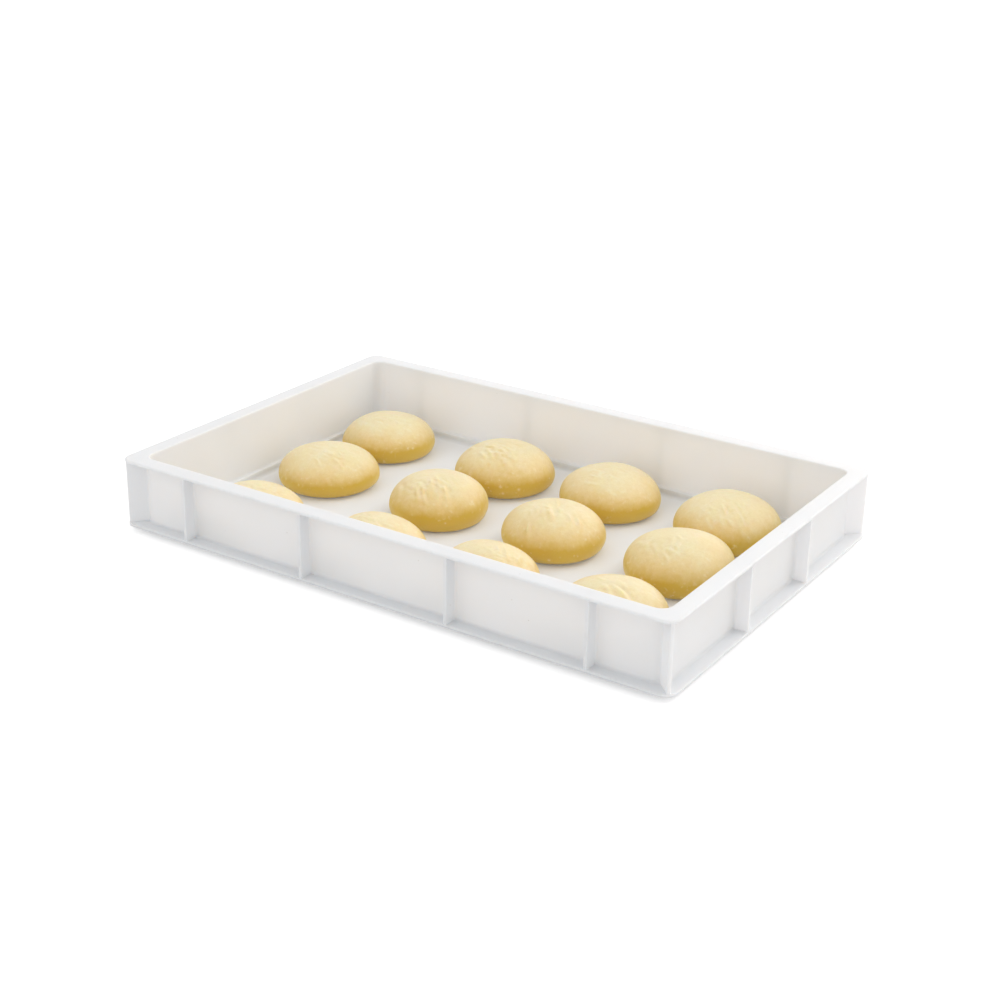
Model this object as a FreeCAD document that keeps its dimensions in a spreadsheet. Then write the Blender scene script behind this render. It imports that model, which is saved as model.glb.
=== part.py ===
import FreeCAD, Part
import math
import os
import Sketcher

# A stackable proofing tray and the portions of dough that lie in it.
# The tray is one moulding, and each portion of dough is a piece of its own.
# Millimetres, +Z up, with the origin in the middle of the surface that the tray stands on.

doc = FreeCAD.newDocument("proofing_tray")

SIZES = {
    # Tray: outline, rim and wall
    "tray_length": 600,
    "tray_width": 400,
    "tray_height": 75,
    "outer_corner_radius": 12,
    "rim_width": 17,
    "rim_thickness": 3,
    "wall_thickness": 3,
    "mouth_corner_radius": 11,
    "cavity_taper": 1.1,
    # Tray: base flange, stacking foot and floor
    "flange_thickness": 3,
    "foot_depth": 6,
    "foot_clearance": 2,
    "foot_wall_thickness": 2.5,
    "floor_thickness": 3,
    "ledge_thickness": 4.5,
    # Tray: upright ribs and corner webs
    "rib_thickness": 3,
    "rib_setback": 0.6,
    "long_side_inner_rib": 80,
    "long_side_outer_rib": 220,
    "short_side_rib": 60,
    # Tray: rounded edges
    "rim_edge_radius": 1.5,
    "lip_edge_radius": 0.5,
    "root_radius": 2.5,
    "wall_foot_radius": 2,
    "ledge_edge_radius": 1.2,
    "floor_radius": 4,
    "foot_edge_radius": 1.5,
    # Dough: the free space around each portion's place on the floor, and a typical portion's height
    "dough_clearance": 8.5,
    "dough_height": 43,
    "dough_seat_gap": 0.2,
}

sheet = doc.addObject("Spreadsheet::Sheet", "sizes")
for row, (alias, size) in enumerate(SIZES.items(), start=1):
    sheet.set(f"A{row}", alias)
    sheet.set(f"B{row}", str(size))
    sheet.setAlias(f"B{row}", alias)
doc.recompute()

# Levels and outlines that several features share, as expressions of the sizes
FLANGE_TOP = "(sizes.foot_depth + sizes.flange_thickness)"
LEDGE_TOP = "(sizes.foot_depth + sizes.ledge_thickness)"
RIM_UNDERSIDE = "(sizes.tray_height - sizes.rim_thickness)"
MOUTH_INSET = "sizes.rim_width"
WALL_INSET = "(sizes.rim_width - sizes.wall_thickness)"
FOOT_INSET = "(sizes.rim_width + sizes.foot_clearance)"
FOOT_CAVITY_INSET = "(sizes.rim_width + sizes.foot_clearance + sizes.foot_wall_thickness)"

# Edges count as being in one place within this distance
SAME_PLACE = "sizes.lip_edge_radius / 2"
# Two faces whose normals turn by less than this share run on smoothly into each other
SMOOTH_JOINT_SHARE = 0.1


def amount(expression):
    """The number that an expression of the sizes comes to."""
    return float(sheet.evalExpression(expression))


def sketch_at(body, name, height, x="0", y="0", turn=0):
    """A sketch that lies flat at a height over the body's base plane, moved and turned on it."""
    sketch = body.newObject("Sketcher::SketchObject", name)
    base = next(f for f in body.Origin.OriginFeatures if f.Role == "XY_Plane")
    sketch.AttachmentSupport = [(base, "")]
    sketch.MapMode = "FlatFace"
    upright = FreeCAD.Rotation(FreeCAD.Vector(0, 0, 1), turn)
    sketch.AttachmentOffset = FreeCAD.Placement(FreeCAD.Vector(), upright)
    for axis, place in (("x", x), ("y", y), ("z", height)):
        sketch.setExpression(f"AttachmentOffset.Base.{axis}", place)
    return sketch


def bind(sketch, kind, elements, expression):
    """Adds a dimension to a sketch and ties it to an expression of the sizes."""
    index = sketch.addConstraint(Sketcher.Constraint(kind, *elements, amount(expression)))
    sketch.setExpression(f"Constraints[{index}]", expression)


def draw_outline(sketch, inset, radius):
    """The tray's rectangular outline, drawn in by an inset, with round corners."""
    length = f"sizes.tray_length - 2 * {inset}"
    width = f"sizes.tray_width - 2 * {inset}"
    x, y, r = amount(length) / 2, amount(width) / 2, amount(radius)
    points = (
        ((r - x, -y), (x - r, -y)),
        ((x, r - y), (x, y - r)),
        ((x - r, y), (r - x, y)),
        ((-x, y - r), (-x, r - y)),
    )
    corners = ((x - r, r - y), (x - r, y - r), (r - x, y - r), (r - x, r - y))
    quarter = math.pi / 2
    for start, end in points:
        sketch.addGeometry(Part.LineSegment(FreeCAD.Vector(*start), FreeCAD.Vector(*end)))
    for turn, corner in enumerate(corners, start=-1):
        circle = Part.Circle(FreeCAD.Vector(*corner), FreeCAD.Vector(0, 0, 1), r)
        sketch.addGeometry(Part.ArcOfCircle(circle, turn * quarter, (turn + 1) * quarter))
    sides = len(points)
    for side in range(sides):
        arc = sides + side
        sketch.addConstraint(Sketcher.Constraint("Tangent", side, 2, arc, 1))
        sketch.addConstraint(Sketcher.Constraint("Tangent", arc, 2, (side + 1) % sides, 1))
        sketch.addConstraint(Sketcher.Constraint("Vertical" if side % 2 else "Horizontal", side))
    for arc in range(sides + 1, 2 * sides):
        sketch.addConstraint(Sketcher.Constraint("Equal", sides, arc))
    sketch.addConstraint(Sketcher.Constraint("Symmetric", sides, 3, sides + 2, 3, -1, 1))
    bind(sketch, "DistanceX", (3, 1, 1, 1), length)
    bind(sketch, "DistanceY", (0, 1, 2, 1), width)
    bind(sketch, "Radius", (sides,), radius)


def draw_bar(sketch, inner, outer, thickness):
    """A bar along the sketch's X axis, from a distance behind its origin to one before it."""
    back, front, half = -amount(inner), amount(outer), amount(thickness) / 2
    corners = [(back, -half), (front, -half), (front, half), (back, half)]
    for start, end in zip(corners, corners[1:] + corners[:1]):
        sketch.addGeometry(Part.LineSegment(FreeCAD.Vector(*start), FreeCAD.Vector(*end)))
    for side in range(len(corners)):
        following = (side + 1) % len(corners)
        sketch.addConstraint(Sketcher.Constraint("Coincident", side, 2, following, 1))
        sketch.addConstraint(Sketcher.Constraint("Vertical" if side % 2 else "Horizontal", side))
    bind(sketch, "DistanceX", (-1, 1, 1, 1), outer)
    bind(sketch, "DistanceX", (3, 1, -1, 1), inner)
    bind(sketch, "DistanceY", (1, 1, -1, 1), f"{thickness} / 2")
    bind(sketch, "DistanceY", (-1, 1, 1, 2), f"{thickness} / 2")


def volume(body):
    """The body's volume so far, which is nothing before its first feature."""
    return 0 if body.Shape.isNull() else body.Shape.Volume


def pad(body, sketch, name, depth):
    """Raises a sketch by a depth, and makes sure that it adds to the body."""
    before = volume(body)
    feature = body.newObject("PartDesign::Pad", name)
    feature.Profile = sketch
    feature.setExpression("Length", depth)
    doc.recompute()
    if not feature.Shape.Volume > before:
        raise RuntimeError(f"{name} adds nothing")
    return feature


def pocket(body, sketch, name, depth, taper="0"):
    """Sinks a sketch by a depth, drawn in by a taper at its foot, and makes sure that it cuts the body."""
    before = volume(body)
    feature = body.newObject("PartDesign::Pocket", name)
    feature.Profile = sketch
    feature.setExpression("Length", depth)
    feature.setExpression("TaperAngle", f"-atan({taper} / ({depth}))")
    doc.recompute()
    if not feature.Shape.Volume < before:
        raise RuntimeError(f"{name} cuts nothing")
    return feature


def inset_of(x, y):
    """How far a place in plan lies inside the nearest side of the tray's outline."""
    return min(amount("sizes.tray_length / 2") - abs(x), amount("sizes.tray_width / 2") - abs(y))


def spans(box, low, high):
    """Whether a box reaches from one height to another."""
    return max(abs(box.ZMin - low), abs(box.ZMax - high)) < amount(SAME_PLACE)


def level_edges(feature, height, inset):
    """Names of the edges that lie at a height on the tray's outline drawn in by an inset."""
    level, reach = amount(height), amount(inset)
    names = []
    for number, edge in enumerate(feature.Shape.Edges, start=1):
        box = edge.BoundBox
        nearest = min(inset_of(box.XMin, box.YMin), inset_of(box.XMax, box.YMax))
        if spans(box, level, level) and abs(nearest - reach) < amount(SAME_PLACE):
            names.append(f"Edge{number}")
    return names


def root_edges(feature):
    """Names of the upright edges where a rib or a web meets the outside of the wall."""
    foot, head, reach = amount(FLANGE_TOP), amount(RIM_UNDERSIDE), amount(WALL_INSET)
    names = []
    for number, edge in enumerate(feature.Shape.Edges, start=1):
        end = edge.Vertexes[0].Point
        on_wall = inset_of(end.x, end.y) > reach - amount(SAME_PLACE)
        if not on_wall or not spans(edge.BoundBox, foot, head):
            continue
        faces = feature.Shape.ancestorsOfType(edge, Part.Face)
        one, other = [face.normalAt(*face.Surface.parameter(end)) for face in faces]
        if one.cross(other).Length > SMOOTH_JOINT_SHARE:
            names.append(f"Edge{number}")
    return names


def fillet(body, feature, name, edges, radius):
    """Rounds the named edges of a feature."""
    rounded = body.newObject("PartDesign::Fillet", name)
    rounded.Base = (feature, edges)
    rounded.setExpression("Radius", radius)
    doc.recompute()
    return rounded


# The tray: plates and blocks first, from the foot up, and then the space inside is sunk into them

tray = doc.addObject("PartDesign::Body", "tray")
tray.Label = "tray"

foot_plan = sketch_at(tray, "foot_plan", "0")
draw_outline(foot_plan, FOOT_INSET, "sizes.mouth_corner_radius - sizes.foot_clearance")
pad(tray, foot_plan, "stacking_foot", "sizes.foot_depth")

flange_plan = sketch_at(tray, "flange_plan", "sizes.foot_depth")
draw_outline(flange_plan, "0", "sizes.outer_corner_radius")
pad(tray, flange_plan, "base_flange", "sizes.flange_thickness")

wall_plan = sketch_at(tray, "wall_plan", FLANGE_TOP)
draw_outline(wall_plan, WALL_INSET, "sizes.mouth_corner_radius + sizes.wall_thickness")
UPRIGHT_HEIGHT = f"{RIM_UNDERSIDE} - {FLANGE_TOP}"
pad(tray, wall_plan, "wall_block", UPRIGHT_HEIGHT)

rim_plan = sketch_at(tray, "rim_plan", RIM_UNDERSIDE)
draw_outline(rim_plan, "0", "sizes.outer_corner_radius")
last = pad(tray, rim_plan, "rim", "sizes.rim_thickness")

# Upright plates that stand between flange and rim: ribs right across, and a web at each corner
RIB_REACH_X = "(sizes.tray_length / 2 - sizes.rib_setback)"
RIB_REACH_Y = "(sizes.tray_width / 2 - sizes.rib_setback)"
uprights = []
for sign in (-1, 1):
    for station in ("inner", "outer"):
        place = f"{sign} * sizes.long_side_{station}_rib"
        uprights.append((place, "0", 90, RIB_REACH_Y, RIB_REACH_Y))
    uprights.append(("0", f"{sign} * sizes.short_side_rib", 0, RIB_REACH_X, RIB_REACH_X))
CORNER_X = "(sizes.tray_length / 2 - sizes.outer_corner_radius)"
CORNER_Y = "(sizes.tray_width / 2 - sizes.outer_corner_radius)"
WEB_REACH = "(sizes.outer_corner_radius - sizes.rib_setback)"
WEB_DEPTH = "(2 * sizes.rim_width)"
for sign_x, sign_y, turn in ((1, 1, 45), (-1, 1, 135), (-1, -1, 225), (1, -1, 315)):
    uprights.append((f"{sign_x} * {CORNER_X}", f"{sign_y} * {CORNER_Y}", turn, WEB_DEPTH, WEB_REACH))
for number, (x, y, turn, inner, outer) in enumerate(uprights, start=1):
    plan = sketch_at(tray, f"upright_plan_{number}", FLANGE_TOP, x, y, turn)
    draw_bar(plan, inner, outer, "sizes.rib_thickness")
    pad(tray, plan, f"upright_{number}", UPRIGHT_HEIGHT)

# The space inside: a drafted cavity down to a narrow ledge, and a shallower one in the foot
mouth_plan = sketch_at(tray, "mouth_plan", "sizes.tray_height")
draw_outline(mouth_plan, MOUTH_INSET, "sizes.mouth_corner_radius")
CAVITY_DEPTH = f"(sizes.tray_height - {LEDGE_TOP})"
pocket(tray, mouth_plan, "cavity", CAVITY_DEPTH, "sizes.cavity_taper")

ledge_plan = sketch_at(tray, "ledge_plan", LEDGE_TOP)
FOOT_CAVITY_RADIUS = "sizes.mouth_corner_radius - sizes.foot_clearance - sizes.foot_wall_thickness"
draw_outline(ledge_plan, FOOT_CAVITY_INSET, FOOT_CAVITY_RADIUS)
last = pocket(tray, ledge_plan, "foot_cavity", f"{LEDGE_TOP} - sizes.floor_thickness")

# Rounded edges, from the roots of the uprights to the outer lips
roots = root_edges(last) + level_edges(last, FLANGE_TOP, WALL_INSET)
last = fillet(tray, last, "root_fillets", roots, "sizes.root_radius")
WALL_FOOT_INSET = f"({MOUTH_INSET} + sizes.cavity_taper)"
rounded_loops = (
    ("floor_fillet", "sizes.floor_thickness", FOOT_CAVITY_INSET, "sizes.floor_radius"),
    ("ledge_edge", LEDGE_TOP, FOOT_CAVITY_INSET, "sizes.ledge_edge_radius"),
    ("wall_foot_fillet", LEDGE_TOP, WALL_FOOT_INSET, "sizes.wall_foot_radius"),
    ("foot_edge", "0", FOOT_INSET, "sizes.foot_edge_radius"),
    ("flange_lower_lip", "sizes.foot_depth", "0", "sizes.lip_edge_radius"),
    ("flange_upper_lip", FLANGE_TOP, "0", "sizes.lip_edge_radius"),
    ("rim_lower_lip", RIM_UNDERSIDE, "0", "sizes.lip_edge_radius"),
    ("rim_outer_edge", "sizes.tray_height", "0", "sizes.rim_edge_radius"),
    ("rim_mouth_edge", "sizes.tray_height", MOUTH_INSET, "sizes.rim_edge_radius"),
)
for name, height, inset, radius in rounded_loops:
    last = fillet(tray, last, name, level_edges(last, height, inset), radius)

# Portions of dough: low domes that lie on the floor in rows and columns, each a little off the middle
# of its own cell. A portion's shares give how far it is off to the right and to the back, of the free
# space in the cell, and then its radius and height, of the typical ones.
BACK_ROW_SHARES = (
    (-0.22, -0.24, 0.99, 0.96),
    (0.20, -0.59, 1.02, 1.01),
    (-0.27, -0.12, 1.01, 0.99),
    (-0.50, -0.16, 1.02, 1.04),
)
MIDDLE_ROW_SHARES = (
    (-0.06, 0.30, 1.01, 0.92),
    (0.05, 0.00, 0.97, 1.04),
    (-0.18, 0.24, 1.01, 1.05),
    (-0.35, 0.50, 1.02, 1.05),
)
FRONT_ROW_SHARES = (
    (0.30, -0.34, 1.00, 1.00),
    (0.43, -0.02, 1.00, 1.00),
    (-0.11, 0.46, 1.00, 1.00),
    (-0.41, 0.59, 1.00, 1.00),
)
# The widest place is this share of the height up. The belly below it is part of an ellipsoid that would
# reach down by this many times the height of that place, and the floor cuts it off.
BELLY_SHARE = 0.30
BELLY_DEPTH_SHARE = 1.96
rows = (("back", BACK_ROW_SHARES), ("middle", MIDDLE_ROW_SHARES), ("front", FRONT_ROW_SHARES))
COLUMN_CELL = f"((sizes.tray_length - 2 * {FOOT_CAVITY_INSET}) / {len(BACK_ROW_SHARES)})"
ROW_CELL = f"((sizes.tray_width - 2 * {FOOT_CAVITY_INSET}) / {len(rows)})"
DOUGH_RADIUS = f"(min({COLUMN_CELL}; {ROW_CELL}) / 2 - sizes.dough_clearance)"
portions = []
for row, (row_name, row_shares) in enumerate(rows):
    for column, (right_share, back_share, radius_share, height_share) in enumerate(row_shares):
        name = f"dough_{row_name}_{column + 1}"
        radius = f"{radius_share} * {DOUGH_RADIUS}"
        height = f"{height_share} * sizes.dough_height"
        columns_out = column - (len(row_shares) - 1) / 2
        rows_back = (len(rows) - 1) / 2 - row
        places = {
            "x": f"{columns_out} * {COLUMN_CELL} + {right_share} * ({COLUMN_CELL} - 2 * {DOUGH_RADIUS})",
            "y": f"{rows_back} * {ROW_CELL} + {back_share} * ({ROW_CELL} - 2 * {DOUGH_RADIUS})",
            "z": f"sizes.floor_thickness + sizes.dough_seat_gap + {height} * {BELLY_SHARE}",
        }
        crown = doc.addObject("Part::Ellipsoid", f"{name}_crown")
        crown.setExpression("Radius1", f"{height} * (1 - {BELLY_SHARE})")
        crown.Angle1 = 0
        belly = doc.addObject("Part::Ellipsoid", f"{name}_belly")
        belly.setExpression("Radius1", f"{height} * {BELLY_SHARE} * {BELLY_DEPTH_SHARE}")
        belly.setExpression("Angle1", f"-asin(1 / {BELLY_DEPTH_SHARE})")
        belly.Angle2 = 0
        for half in (crown, belly):
            half.setExpression("Radius2", radius)
            half.setExpression("Radius3", radius)
            for axis, place in places.items():
                half.setExpression(f"Placement.Base.{axis}", place)
        portion = doc.addObject("Part::Fuse", name)
        portion.Label = name
        portion.Base = crown
        portion.Tool = belly
        portions.append(portion)
doc.recompute()

# Every object has to be sound before anything is written
for item in doc.Objects:
    if "Invalid" in item.State or "Error" in item.State:
        raise RuntimeError(f"{item.Name} could not be built: {item.State}")
os.makedirs("parts", exist_ok=True)
for piece in [tray] + portions:
    if piece.Shape.isNull() or not piece.Shape.isValid() or len(piece.Shape.Solids) != 1:
        raise RuntimeError(f"{piece.Label} is not one sound solid")
    piece.Shape.exportStep(f"parts/{piece.Label}.step")
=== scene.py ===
import math

import bpy
import numpy as np
from mathutils import Matrix, Vector


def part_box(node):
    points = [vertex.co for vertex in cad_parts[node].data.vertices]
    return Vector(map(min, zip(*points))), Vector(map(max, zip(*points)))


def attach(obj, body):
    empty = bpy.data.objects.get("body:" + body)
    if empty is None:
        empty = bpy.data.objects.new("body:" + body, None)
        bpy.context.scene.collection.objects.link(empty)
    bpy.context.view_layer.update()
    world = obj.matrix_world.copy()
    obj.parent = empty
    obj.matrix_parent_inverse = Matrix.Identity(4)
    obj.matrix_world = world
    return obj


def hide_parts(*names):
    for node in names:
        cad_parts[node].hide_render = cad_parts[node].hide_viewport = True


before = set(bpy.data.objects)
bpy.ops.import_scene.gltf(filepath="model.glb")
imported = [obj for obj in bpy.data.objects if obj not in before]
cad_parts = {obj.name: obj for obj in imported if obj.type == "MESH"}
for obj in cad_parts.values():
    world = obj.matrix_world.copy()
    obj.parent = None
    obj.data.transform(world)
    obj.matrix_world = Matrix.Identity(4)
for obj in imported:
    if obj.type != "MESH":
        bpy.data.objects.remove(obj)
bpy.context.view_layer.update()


# The tray: one injection moulding with a flat rim, ribbed walls, a base flange and a stacking foot.
# It is white food-grade polyethylene, 3 mm thick, waxy and translucent: light from outside glows warmly
# through the walls, and the ribs and the rim behind them show through as faint shadows.

TRAY_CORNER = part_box("tray")[1]
LIGHT_DEPTH_MM = 9.0
MELT_CLOUD_MM = 70
MELT_RIPPLE_MM = 35
MELT_RIPPLE_HEIGHT_MM = 0.4
SPECK_SPACING_MM = 22
SPECK_SHARE = 0.022
SPECK_STRENGTH = 0.4
RIM_WEAR_MM = 2.5
RUB_MM = 18
RUB_RANGE = 0.5, 0.72
RUB_STRENGTH = 0.35
RUB_ROUGHNESS = 0.2
NICK_MM = 3.5
NICK_RANGE = 0.66, 0.72
NICK_STRENGTH = 0.45
SCUFF_MM = 12
SATIN_ROUGHNESS = 0.50, 0.64
SPARK_GRAIN_MM = 1.1
SPARK_GRAIN_HEIGHT_MM = 0.06
NOISE_RANGE = 0.3, 0.7


def linear(hex_colour):
    """An sRGB hex value as linear RGBA: each channel c becomes ((c + 0.055) / 1.055) to the power 2.4."""
    channels = [int(hex_colour[i:i + 2], 16) / 255 for i in (1, 3, 5)]
    return [((c + 0.055) / 1.055) ** 2.4 if c > 0.04045 else c / 12.92 for c in channels] + [1.0]


def put(tree, kind, sockets=None, **settings):
    """Adds a node with its settings; each socket takes a value or another node's output.

    Sockets go by name, or by number where names repeat. A Mix has its share at 0, its colours at 6 and 7 and
    its result at 2, and a Map Range the range that it reads at 1 and 2 and the one that it gives at 3 and 4.
    """
    made = tree.nodes.new(kind)
    for name, value in settings.items():
        setattr(made, name, value)
    for socket, value in (sockets or {}).items():
        if isinstance(value, bpy.types.NodeSocket):
            tree.links.new(value, made.inputs[socket])
        else:
            made.inputs[socket].default_value = value
    return made


def new_material(name):
    """An empty node material with a Principled surface, and its Object coordinates in metres."""
    material = bpy.data.materials.new(name)
    material.use_nodes = True
    tree = material.node_tree
    tree.nodes.clear()
    surface = put(tree, "ShaderNodeBsdfPrincipled")
    put(tree, "ShaderNodeOutputMaterial", {"Surface": surface.outputs["BSDF"]})
    place = put(tree, "ShaderNodeTexCoord").outputs["Object"]
    return material, tree, surface, place


# Moulded polyethylene: a soft satin white. Broad, faint clouds and ripples come from the flow of the melt.
# A spark-eroded grain breaks up the gloss and is drawn much coarser than it is, so that it shows. A few
# dark specks are dust that was moulded in, and the outer edges are rubbed dull where trays knock together.
polyethylene, tree, surface, place = new_material("moulded_polyethylene")
surface.inputs["IOR"].default_value = 1.51
surface.inputs["Subsurface Weight"].default_value = 1.0
surface.inputs["Subsurface Radius"].default_value = (1.0, 0.91, 0.85)
surface.inputs["Subsurface Scale"].default_value = LIGHT_DEPTH_MM / 1000
clouds = put(tree, "ShaderNodeTexNoise", {"Vector": place, "Scale": 1000 / MELT_CLOUD_MM, "Detail": 2.0})
tint = put(tree, "ShaderNodeMix", {0: clouds.outputs[0], 6: linear("#EBECEE"), 7: linear("#F0F1F2")},
           data_type="RGBA")

specks = put(tree, "ShaderNodeTexVoronoi", {"Vector": place, "Scale": 1000 / SPECK_SPACING_MM})
specks = put(tree, "ShaderNodeMath", {0: specks.outputs["Distance"], 1: SPECK_SHARE}, operation="LESS_THAN")
specks = put(tree, "ShaderNodeMath", {0: specks.outputs[0], 1: SPECK_STRENGTH}, operation="MULTIPLY")
speckled = put(tree, "ShaderNodeMix", {0: specks.outputs[0], 6: tint.outputs[2], 7: linear("#A09684")},
               data_type="RGBA")

from_middle = put(tree, "ShaderNodeSeparateXYZ", {0: place})
past_edge = []
for axis, half_side in (("X", TRAY_CORNER.x), ("Y", TRAY_CORNER.y)):
    either_way = put(tree, "ShaderNodeMath", {0: from_middle.outputs[axis]}, operation="ABSOLUTE")
    beyond = put(tree, "ShaderNodeMath", {0: either_way.outputs[0], 1: half_side}, operation="SUBTRACT")
    past_edge.append(beyond.outputs[0])
edge = put(tree, "ShaderNodeMath", {0: past_edge[0], 1: past_edge[1]}, operation="MAXIMUM")
outermost = put(tree, "ShaderNodeMapRange", {0: edge.outputs[0], 1: -RIM_WEAR_MM / 1000, 2: 0.0})
rubs = put(tree, "ShaderNodeTexNoise", {"Vector": place, "Scale": 1000 / RUB_MM, "Detail": 5.0})
rubs = put(tree, "ShaderNodeMapRange", {0: rubs.outputs[0], 1: RUB_RANGE[0], 2: RUB_RANGE[1]})
rubbed = put(tree, "ShaderNodeMath", {0: rubs.outputs[0], 1: outermost.outputs[0]}, operation="MULTIPLY")
rub_share = put(tree, "ShaderNodeMath", {0: rubbed.outputs[0], 1: RUB_STRENGTH}, operation="MULTIPLY")
worn = put(tree, "ShaderNodeMix", {0: rub_share.outputs[0], 6: speckled.outputs[2], 7: linear("#D3D1CE")},
           data_type="RGBA")
nicks = put(tree, "ShaderNodeTexNoise", {"Vector": place, "Scale": 1000 / NICK_MM, "Detail": 3.0})
nicks = put(tree, "ShaderNodeMapRange", {0: nicks.outputs[0], 1: NICK_RANGE[0], 2: NICK_RANGE[1],
                                         4: NICK_STRENGTH})
nicks = put(tree, "ShaderNodeMath", {0: nicks.outputs[0], 1: rubbed.outputs[0]}, operation="MULTIPLY")
nicked = put(tree, "ShaderNodeMix", {0: nicks.outputs[0], 6: worn.outputs[2], 7: linear("#A8A298")},
             data_type="RGBA")
tree.links.new(nicked.outputs[2], surface.inputs["Base Color"])

scuffs = put(tree, "ShaderNodeTexNoise", {"Vector": place, "Scale": 1000 / SCUFF_MM, "Detail": 4.0})
satin = put(tree, "ShaderNodeMapRange", {0: scuffs.outputs[0], 1: NOISE_RANGE[0], 2: NOISE_RANGE[1],
                                         3: SATIN_ROUGHNESS[0], 4: SATIN_ROUGHNESS[1]})
dull = put(tree, "ShaderNodeMath", {0: rubbed.outputs[0], 1: RUB_ROUGHNESS, 2: satin.outputs[0]},
           operation="MULTIPLY_ADD")
tree.links.new(dull.outputs[0], surface.inputs["Roughness"])

grain = put(tree, "ShaderNodeTexNoise", {"Vector": place, "Scale": 1000 / SPARK_GRAIN_MM, "Detail": 2.0})
fine_bump = put(tree, "ShaderNodeBump", {"Height": grain.outputs[0], "Strength": 0.25,
                                         "Distance": SPARK_GRAIN_HEIGHT_MM / 1000})
ripple = put(tree, "ShaderNodeTexNoise", {"Vector": place, "Scale": 1000 / MELT_RIPPLE_MM, "Detail": 1.0})
soft_bump = put(tree, "ShaderNodeBump", {"Height": ripple.outputs[0], "Strength": 0.5,
                                         "Distance": MELT_RIPPLE_HEIGHT_MM / 1000,
                                         "Normal": fine_bump.outputs[0]})
tree.links.new(soft_bump.outputs[0], surface.inputs["Normal"])

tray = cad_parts["tray"]
tray.data.materials.clear()
tray.data.materials.append(polyethylene)


# The dough: portions of soft egg dough, rounded by hand and left to prove on the floor of the tray.
# Each is a low bun with a taut, lightly floured skin, pinched folds on its crown and small blisters.
# It lies loose on the floor, and its belly hangs a little over its foot.

SKIN_DROP_MM = 0.1
BELLY_SHARE = 0.30
FOOT_SHARE = 0.74
SEATED_SHARE = 0.15
UNDERSIDE_SHARES = 0.94, 0.5
CROWN_RINGS = 78
BELLY_RINGS = 24
SPOKES = 264

# Portions that are narrower, more pointed, lower or leaning, where the others share one even form.
SINGLE_FORMS = {
    "dough_back_1": {"sink_mm": 1.2},
    "dough_middle_3": {"spread_share": 0.98, "sink_mm": 2.0},
    "dough_front_1": {"spread_share": 0.96, "crown_power": 1.08, "lean_mm": -2.5},
    "dough_front_2": {"spread_share": 0.92, "crown_power": 1.08, "lean_mm": -4.5},
    "dough_front_3": {"spread_share": 0.92, "crown_power": 1.08, "lean_mm": -5.0},
    "dough_front_4": {"spread_share": 0.97, "crown_power": 1.08, "lean_mm": -2.0},
}

# Swells, folds, puckers and blisters: the scatter of a turn is in radians, and a pair is a lowest and a
# highest value or, for places and their scatter, X and Y.
FIRST_SEED = 1003
SWELLS = 16
SWELL_LENGTHS_MM = 45, 120
SWELL_MM = 0.16
PINCH_PLACE_MM = 6.0, -12.0
PINCH_SCATTER_MM = 6.0
FOLD_COUNTS = 10, 16
FOLD_DEPTH_SHARES = 0.45, 1.25
FOLD_TURN_DEGREES = -23
FOLD_TURN_SCATTER = 0.5
FOLD_HEADING_SCATTER = 0.3
FOLD_SCATTER_MM = 14, 11
FOLD_BEND_PER_MM = 0.025
FOLD_LENGTHS_MM = 4, 9
FOLD_WIDTHS_MM = 1.5, 2.7
FOLD_HEIGHTS_MM = 0.35, 0.85
FOLD_FLOUR_SHARE = 0.2
GROOVE_SHARE = 0.7
GROOVE_OFFSET_SHARE = 1.7
FOLDED_SLOPE = 0.5
PUCKERS = 20
PUCKER_LENGTHS_MM = 8, 24
PUCKER_TURN_SCATTER = 0.9
PUCKER_REACH_MM = 21
PUCKER_MM = 0.5
PUCKER_LEVEL = 0.6
BLISTERS = 12
BLISTER_RINGS = 2, 92
BLISTER_RADII_MM = 0.6, 1.4
BLISTER_HEIGHTS_MM = 0.05, 0.28


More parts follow.
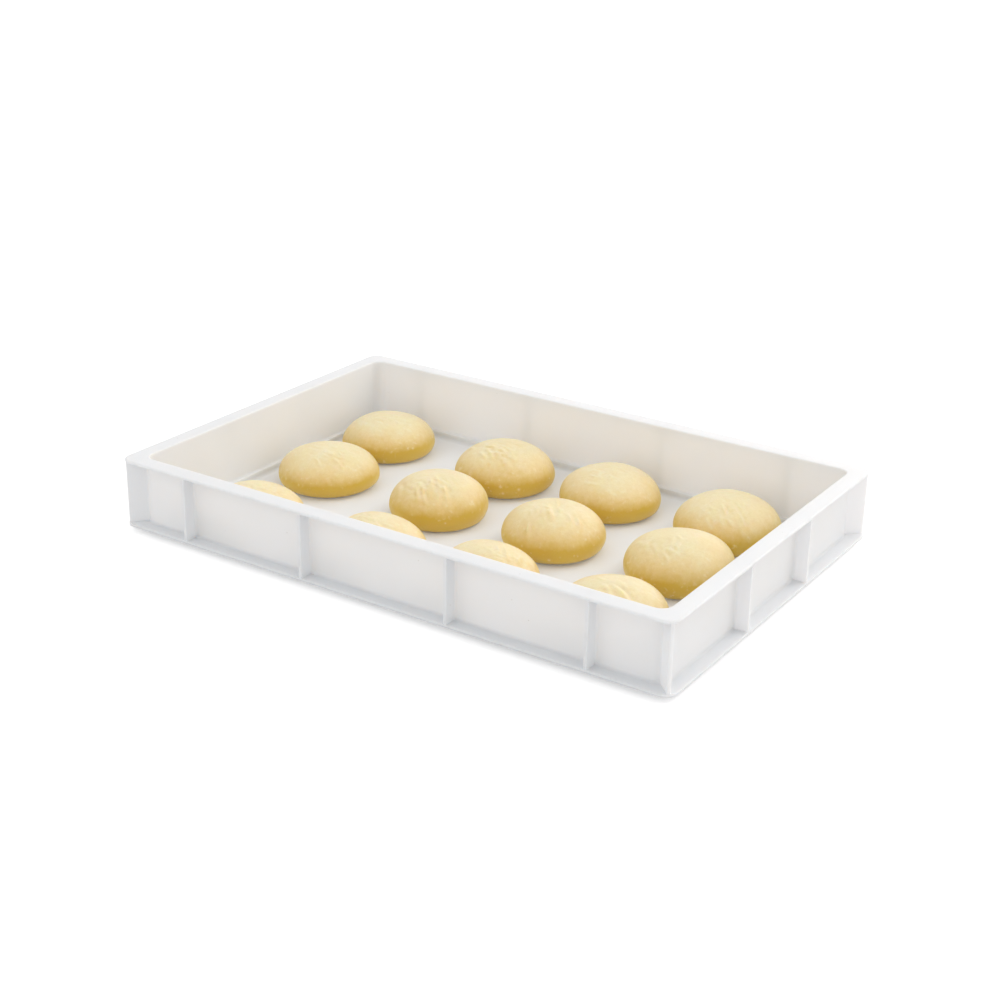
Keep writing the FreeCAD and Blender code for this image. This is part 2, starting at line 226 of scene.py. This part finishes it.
def dough_surface(low, high, seed, spread_share=1.0, crown_power=0.93, lean_mm=0.0, sink_mm=0.0):
    """A bun in its solid's box: vertices in metres, faces, and how much flour lies on each vertex.

    It is worked out in millimetres from the middle of the foot. A profile angle and a ring angle make the
    grid. Above the widest place the profile is the radius times the cosine of the angle to the crown power,
    and below it a quarter ellipse runs in to the foot. The crown leans along X with the square of its
    height. Along the outward direction come slow waves, which make the form uneven, then folds, each a bell
    curve with a shallower groove beside it, puckers where the skin was pinched together, which are the size
    of a sum of short waves, and blisters, each a small round bell curve. All of them fade out at the foot.
    """
    rng = np.random.default_rng(seed)
    low, high = np.array(low) * 1000, np.array(high) * 1000
    seat = (low + high) / 2
    seat[2] = low[2] - SKIN_DROP_MM
    radius = spread_share * (high[0] - low[0]) / 2
    height = high[2] - seat[2] - sink_mm
    crown = np.linspace(math.pi / 2, 0, CROWN_RINGS)[1:]
    belly = np.linspace(0, math.pi / 2, BELLY_RINGS)[1:]
    crown_level = BELLY_SHARE + (1 - BELLY_SHARE) * np.sin(crown)
    belly_level = BELLY_SHARE * (1 - np.sin(belly))
    level = height * np.concatenate([crown_level, belly_level])
    belly_reach = FOOT_SHARE + (1 - FOOT_SHARE) * np.cos(belly)
    reach = radius * np.concatenate([np.cos(crown) ** crown_power, belly_reach])
    fall, run = -np.gradient(level), np.gradient(reach)
    slope = np.hypot(fall, run)
    turn = np.linspace(0, 2 * math.pi, SPOKES, endpoint=False)
    ring = np.stack([np.cos(turn), np.sin(turn), np.zeros(SPOKES)], axis=-1)
    upright = np.array([0.0, 0.0, 1.0])
    points = reach[:, None, None] * ring + level[:, None, None] * upright
    points[..., 0] += lean_mm * (level[:, None] / height) ** 2
    out = (fall / slope)[:, None, None] * ring + (run / slope)[:, None, None] * upright

    waves = rng.normal(size=(SWELLS, 3))
    waves /= np.linalg.norm(waves, axis=1, keepdims=True)
    waves *= 2 * math.pi / rng.uniform(*SWELL_LENGTHS_MM, size=(SWELLS, 1))
    swell = SWELL_MM * np.cos(points @ waves.T + rng.uniform(0, 2 * math.pi, SWELLS)).sum(axis=-1)

    count = rng.integers(*FOLD_COUNTS)
    depth = rng.uniform(*FOLD_DEPTH_SHARES)
    bearing = math.radians(FOLD_TURN_DEGREES) + rng.uniform(-FOLD_TURN_SCATTER, FOLD_TURN_SCATTER)
    pinch = np.array(PINCH_PLACE_MM) + rng.normal(0, PINCH_SCATTER_MM, 2)
    heading = bearing + rng.normal(0, FOLD_HEADING_SCATTER, count)
    gap = points[..., None, :2] - pinch - rng.normal(0, 1, (count, 2)) * FOLD_SCATTER_MM
    along = gap[..., 0] * np.cos(heading) + gap[..., 1] * np.sin(heading)
    beside = gap[..., 1] * np.cos(heading) - gap[..., 0] * np.sin(heading)
    beside -= along ** 2 * rng.uniform(-FOLD_BEND_PER_MM, FOLD_BEND_PER_MM, count)
    length = rng.uniform(*FOLD_LENGTHS_MM, count)
    width = rng.uniform(*FOLD_WIDTHS_MM, count)
    ridge = np.exp(-(along / length) ** 2 - (beside / width) ** 2)
    groove = np.exp(-(along / length) ** 2 - (beside / width - GROOVE_OFFSET_SHARE) ** 2)

    across = bearing + math.pi / 2 + rng.normal(0, PUCKER_TURN_SCATTER, PUCKERS)
    ripples = np.stack([np.cos(across), np.sin(across)])
    ripples *= 2 * math.pi / rng.uniform(*PUCKER_LENGTHS_MM, PUCKERS)
    ripples = np.cos(points[..., :2] @ ripples + rng.uniform(0, 2 * math.pi, PUCKERS)).sum(axis=-1)
    near = np.exp(-(np.linalg.norm(points[..., :2] - pinch, axis=-1) / PUCKER_REACH_MM) ** 2)
    puckers = PUCKER_MM * (np.abs(ripples) / PUCKERS ** 0.5 - PUCKER_LEVEL) * near
    fold_height = rng.uniform(*FOLD_HEIGHTS_MM, count)
    folds = (fold_height * (ridge - GROOVE_SHARE * groove)).sum(axis=-1)
    on_top = np.clip(out[..., 2] / FOLDED_SLOPE, 0, 1)
    creased = (folds + puckers) * depth * on_top

    spots = rng.integers(*BLISTER_RINGS, BLISTERS), rng.integers(0, SPOKES, BLISTERS)
    blister_radius = rng.uniform(*BLISTER_RADII_MM, BLISTERS)
    from_spot = np.linalg.norm(points[..., None, :] - points[spots], axis=-1)
    blisters = np.exp(-(from_spot / blister_radius) ** 2)
    raised = (blisters * rng.uniform(*BLISTER_HEIGHTS_MM, BLISTERS)).sum(axis=-1)

    seated = np.clip(points[..., 2] / (SEATED_SHARE * height), 0, 1) ** 2
    points = points + out * ((swell + creased + raised) * seated)[..., None]
    flour = np.clip(blisters.max(axis=-1) + FOLD_FLOUR_SHARE * ridge.max(axis=-1) * on_top, 0, 1)

    underside = points[-1] * np.array(UNDERSIDE_SHARES)[:, None, None]
    grid = np.concatenate([points, underside])
    rows, columns = grid.shape[:2]
    poles = np.array([points[0].mean(axis=0), [0, 0, grid[-1, 0, 2]]])
    vertices = (np.concatenate([grid.reshape(-1, 3), poles]) + seat) / 1000
    bare = np.zeros(len(underside) * columns)
    flour = np.concatenate([flour.ravel(), bare, flour[:1].mean(axis=1), [0]])
    i, j = np.meshgrid(np.arange(rows - 1), np.arange(columns), indexing="ij")
    k = (j + 1) % columns
    upper, lower = i * columns, (i + 1) * columns
    sides = np.stack([upper + j, lower + j, lower + k, upper + k], axis=-1)
    j, k = j[0], k[0]
    top = np.stack([np.full(columns, rows * columns), j, k], axis=-1)
    last = (rows - 1) * columns
    bottom = np.stack([np.full(columns, rows * columns + 1), last + k, last + j], axis=-1)
    return vertices, sides.reshape(-1, 4).tolist() + top.tolist() + bottom.tolist(), flour


# Egg dough: soft and slightly moist under a dry skin. Light goes some millimetres in and comes out golden.
# The upper side is paler and streaky: partly a dusting of flour and partly painted light, a painted sheen of
# the lamps above. Flour also lies as flecks on blisters and folds, and the skin is fine-grained; its grain
# is drawn about twice as coarse as it is, so that it shows.
DOUGH_LIGHT_DEPTH_MM = 4.5
FLOUR_COLOUR = "#FFF3D6"
FLOUR_CLOUD_MM = 24
DUSTING_MM = 4.5
STREAK_MM = 7, 7, 30
CLOUD_WEIGHT, DUSTING_WEIGHT, STREAK_WEIGHT = 0.4, 0.3, 0.18
# How the paling runs from faces that point down to faces that point up: partly flour, partly painted top
# light.
FLOUR_AND_PAINTED_TOP_LIGHT_RANGE = 0.66, 1.46
SKIN_GRAIN_MM = 1.6
SKIN_GRAIN_HEIGHT_MM = 0.15
SKIN_GRAIN_STRENGTH = 0.16
CREASE_MM = 9
CREASE_HEIGHT_MM = 0.7
DRIFT_WEIGHT = 0.45
FLECK_RANGE = 0.86, 1.0
FLECK_STRENGTH = 0.28
FLOUR_STRENGTH = 0.45
SKIN_ROUGHNESS = 0.36, 0.54

dough, tree, surface, place = new_material("floured_egg_dough")
surface.inputs["IOR"].default_value = 1.42
surface.inputs["Sheen Weight"].default_value = 0.35
surface.inputs["Sheen Roughness"].default_value = 0.5
surface.inputs["Sheen Tint"].default_value = linear(FLOUR_COLOUR)
surface.inputs["Subsurface Weight"].default_value = 0.8
surface.inputs["Subsurface Radius"].default_value = (1.0, 0.8, 0.4)
surface.inputs["Subsurface Scale"].default_value = DOUGH_LIGHT_DEPTH_MM / 1000
clouds = put(tree, "ShaderNodeTexNoise", {"Vector": place, "Scale": 1000 / FLOUR_CLOUD_MM, "Detail": 3.0})
dusting = put(tree, "ShaderNodeTexNoise", {"Vector": place, "Scale": 1000 / DUSTING_MM, "Detail": 4.0})
drawn_out = put(tree, "ShaderNodeMapping", {"Vector": place, "Scale": [1000 / size for size in STREAK_MM]})
streaks = put(tree, "ShaderNodeTexNoise", {"Vector": drawn_out.outputs[0], "Scale": 1.0, "Detail": 3.0})
facing = put(tree, "ShaderNodeSeparateXYZ", {0: put(tree, "ShaderNodeNewGeometry").outputs["Normal"]})
# Upward faces turn pale: partly flour and partly painted light, a painted sheen of the lamps above; faces
# that point down keep the deeper yellow.
flour_and_painted_top_light = facing.outputs["Z"]
for pattern, weight in ((clouds, CLOUD_WEIGHT), (dusting, DUSTING_WEIGHT), (streaks, STREAK_WEIGHT)):
    layer = put(tree, "ShaderNodeMath", {0: pattern.outputs[0], 1: weight, 2: flour_and_painted_top_light},
                operation="MULTIPLY_ADD")
    flour_and_painted_top_light = layer.outputs[0]
flour_and_painted_top_light = put(tree, "ShaderNodeMapRange", {0: flour_and_painted_top_light, 1: FLOUR_AND_PAINTED_TOP_LIGHT_RANGE[0], 2: FLOUR_AND_PAINTED_TOP_LIGHT_RANGE[1]})
skin = put(tree, "ShaderNodeMix", {0: flour_and_painted_top_light.outputs[0], 6: linear("#E1C053"), 7: linear("#FFECC3")},
           data_type="RGBA")

grain = put(tree, "ShaderNodeTexNoise", {"Vector": place, "Scale": 1000 / SKIN_GRAIN_MM, "Detail": 3.0})
darker = put(tree, "ShaderNodeMapRange", {0: grain.outputs[0], 1: NOISE_RANGE[0], 2: NOISE_RANGE[1],
                                          4: SKIN_GRAIN_STRENGTH})
grained = put(tree, "ShaderNodeMix", {0: darker.outputs[0], 6: skin.outputs[2], 7: linear("#D8B765")},
              data_type="RGBA")
drifts = put(tree, "ShaderNodeMath", {0: clouds.outputs[0], 1: DRIFT_WEIGHT, 2: dusting.outputs[0]},
             operation="MULTIPLY_ADD")
flecks = put(tree, "ShaderNodeMapRange", {0: drifts.outputs[0], 1: FLECK_RANGE[0], 2: FLECK_RANGE[1],
                                          4: FLECK_STRENGTH})
flour = put(tree, "ShaderNodeAttribute", attribute_name="flour")
flour = put(tree, "ShaderNodeMath", {0: flour.outputs["Fac"], 1: FLOUR_STRENGTH}, operation="MULTIPLY")
pale = put(tree, "ShaderNodeMath", {0: flour.outputs[0], 1: flecks.outputs[0]}, operation="MAXIMUM")
floured = put(tree, "ShaderNodeMix", {0: pale.outputs[0], 6: grained.outputs[2], 7: linear(FLOUR_COLOUR)},
              data_type="RGBA")
tree.links.new(floured.outputs[2], surface.inputs["Base Color"])

gloss = put(tree, "ShaderNodeMapRange", {0: clouds.outputs[0], 1: NOISE_RANGE[0], 2: NOISE_RANGE[1],
                                         3: SKIN_ROUGHNESS[0], 4: SKIN_ROUGHNESS[1]})
tree.links.new(gloss.outputs[0], surface.inputs["Roughness"])
pores = put(tree, "ShaderNodeBump", {"Height": grain.outputs[0], "Strength": 0.6,
                                     "Distance": SKIN_GRAIN_HEIGHT_MM / 1000})
creases = put(tree, "ShaderNodeTexNoise", {"Vector": place, "Scale": 1000 / CREASE_MM, "Detail": 3.0})
soft_bump = put(tree, "ShaderNodeBump", {"Height": creases.outputs[0], "Strength": 0.6,
                                         "Distance": CREASE_HEIGHT_MM / 1000, "Normal": pores.outputs[0]})
tree.links.new(soft_bump.outputs[0], surface.inputs["Normal"])

for seed, node in enumerate(sorted(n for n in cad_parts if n.startswith("dough_")), FIRST_SEED):
    vertices, faces, flour = dough_surface(*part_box(node), seed, **SINGLE_FORMS.get(node, {}))
    mesh = bpy.data.meshes.new(f"{node}_skin")
    mesh.from_pydata(vertices.tolist(), [], faces)
    mesh.attributes.new("flour", "FLOAT", "POINT").data.foreach_set("value", flour)
    mesh.shade_smooth()
    mesh.materials.append(dough)
    portion = bpy.data.objects.new(f"{node}_skin", mesh)
    bpy.context.scene.collection.objects.link(portion)
    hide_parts(node)
    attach(portion, node)


# The table and the light: a white paper table that runs out of sight in a white room. A broad softbox is
# above the back right and a low one behind makes the walls glow. One in front at the left opens the shade,
# and a weak, warm one is low at the right.

TABLE_HALF_SIDE_M = 12.0
TABLE_GLOW = 0.45
ROOM_LIGHT = 0.71
ROOM_WHITE = 1.0


def table_surface():
    """A flat square on the ground, from four corners."""
    corners = np.array([[-1, -1, 0], [1, -1, 0], [1, 1, 0], [-1, 1, 0]]) * TABLE_HALF_SIDE_M
    return corners.tolist(), [[0, 1, 2, 3]]


def rays(tree, *kinds):
    """Gives 1 to rays of these kinds and 0 to others: the largest of their light path outputs."""
    path = put(tree, "ShaderNodeLightPath")
    found = path.outputs[kinds[0]]
    for kind in kinds[1:]:
        either = put(tree, "ShaderNodeMath", {0: found, 1: path.outputs[kind]}, operation="MAXIMUM")
        found = either.outputs[0]
    return found


mesh = bpy.data.meshes.new("table")
corners, faces = table_surface()
mesh.from_pydata(corners, [], faces)
table = bpy.data.objects.new("table", mesh)
bpy.context.scene.collection.objects.link(table)

# White paper: matt, and lifted to a clean white where the camera sees it.
paper = bpy.data.materials.new("white_paper_sweep")
paper.use_nodes = True
tree = paper.node_tree
tree.nodes.clear()
matt = put(tree, "ShaderNodeBsdfDiffuse", {"Color": linear("#F7F7F7")})
glow = put(tree, "ShaderNodeEmission", {"Strength": TABLE_GLOW})
nothing = put(tree, "ShaderNodeEmission", {"Strength": 0.0})
seen = rays(tree, "Is Camera Ray", "Is Transmission Ray")
lifted = put(tree, "ShaderNodeMixShader", {0: seen, 1: nothing.outputs[0], 2: glow.outputs[0]})
both = put(tree, "ShaderNodeAddShader", {0: matt.outputs[0], 1: lifted.outputs[0]})
put(tree, "ShaderNodeOutputMaterial", {"Surface": both.outputs[0]})
mesh.materials.append(paper)

world = bpy.data.worlds.new("white_room")
bpy.context.scene.world = world
world.use_nodes = True
tree = world.node_tree
tree.nodes.clear()
seen = rays(tree, "Is Camera Ray", "Is Transmission Ray", "Is Glossy Ray")
room = put(tree, "ShaderNodeBackground", {"Color": linear("#FFFFFF"), "Strength": ROOM_LIGHT})
white = put(tree, "ShaderNodeBackground", {"Color": linear("#FFFFFF"), "Strength": ROOM_WHITE})
mixed = put(tree, "ShaderNodeMixShader", {0: seen, 1: room.outputs[0], 2: white.outputs[0]})
put(tree, "ShaderNodeOutputWorld", {"Surface": mixed.outputs[0]})


def softbox(name, place_m, size_m, watts, hex_colour="#FFFFFF"):
    """A rectangular lamp that faces the ground under the middle of the tray."""
    lamp = bpy.data.lights.new(name, "AREA")
    lamp.shape = "RECTANGLE"
    lamp.size, lamp.size_y = size_m
    lamp.energy = watts
    lamp.color = linear(hex_colour)[:3]
    holder = bpy.data.objects.new(name, lamp)
    holder.location = place_m
    holder.rotation_euler = (-Vector(place_m)).to_track_quat("-Z", "Y").to_euler()
    bpy.context.scene.collection.objects.link(holder)


softbox("back_softbox", place_m=(1.4, 1.4, 2.2), size_m=(2.4, 1.8), watts=24.5)
softbox("rear_softbox", place_m=(0.2, 2.6, 0.7), size_m=(2.0, 0.8), watts=13.0, hex_colour="#FFEDDF")
softbox("front_softbox", place_m=(-1.0, -2.0, 2.0), size_m=(1.6, 1.0), watts=6.5)
softbox("right_softbox", place_m=(2.3, 0.8, 1.0), size_m=(1.4, 1.0), watts=1.5, hex_colour="#FFD4B0")


# The camera: it stands to the right of the front long side and looks down on the tray with a long lens.
# Its place, turn and lens were fitted to the tray's corners in the photograph.

CAMERA_PLACE_MM = 838.312, -1273.008, 678.814
CAMERA_TURN_DEGREES = 33.2424
CAMERA_DOWN_DEGREES = 22.8258
CAMERA_ROLL_DEGREES = 0.985
LENS_MM = 61.744
SENSOR_WIDTH_MM = 36.0

camera = bpy.data.cameras.new("camera")
camera.sensor_width = SENSOR_WIDTH_MM
camera.lens = LENS_MM
holder = bpy.data.objects.new("camera", camera)
holder.matrix_world = (
    Matrix.Translation(Vector(CAMERA_PLACE_MM) / 1000)
    @ Matrix.Rotation(math.radians(CAMERA_TURN_DEGREES), 4, "Z")
    @ Matrix.Rotation(math.radians(90 - CAMERA_DOWN_DEGREES), 4, "X")
    @ Matrix.Rotation(math.radians(CAMERA_ROLL_DEGREES), 4, "Z")
)
bpy.context.scene.collection.objects.link(holder)
bpy.context.scene.camera = holder
bpy.context.scene.view_settings.view_transform = "Standard"
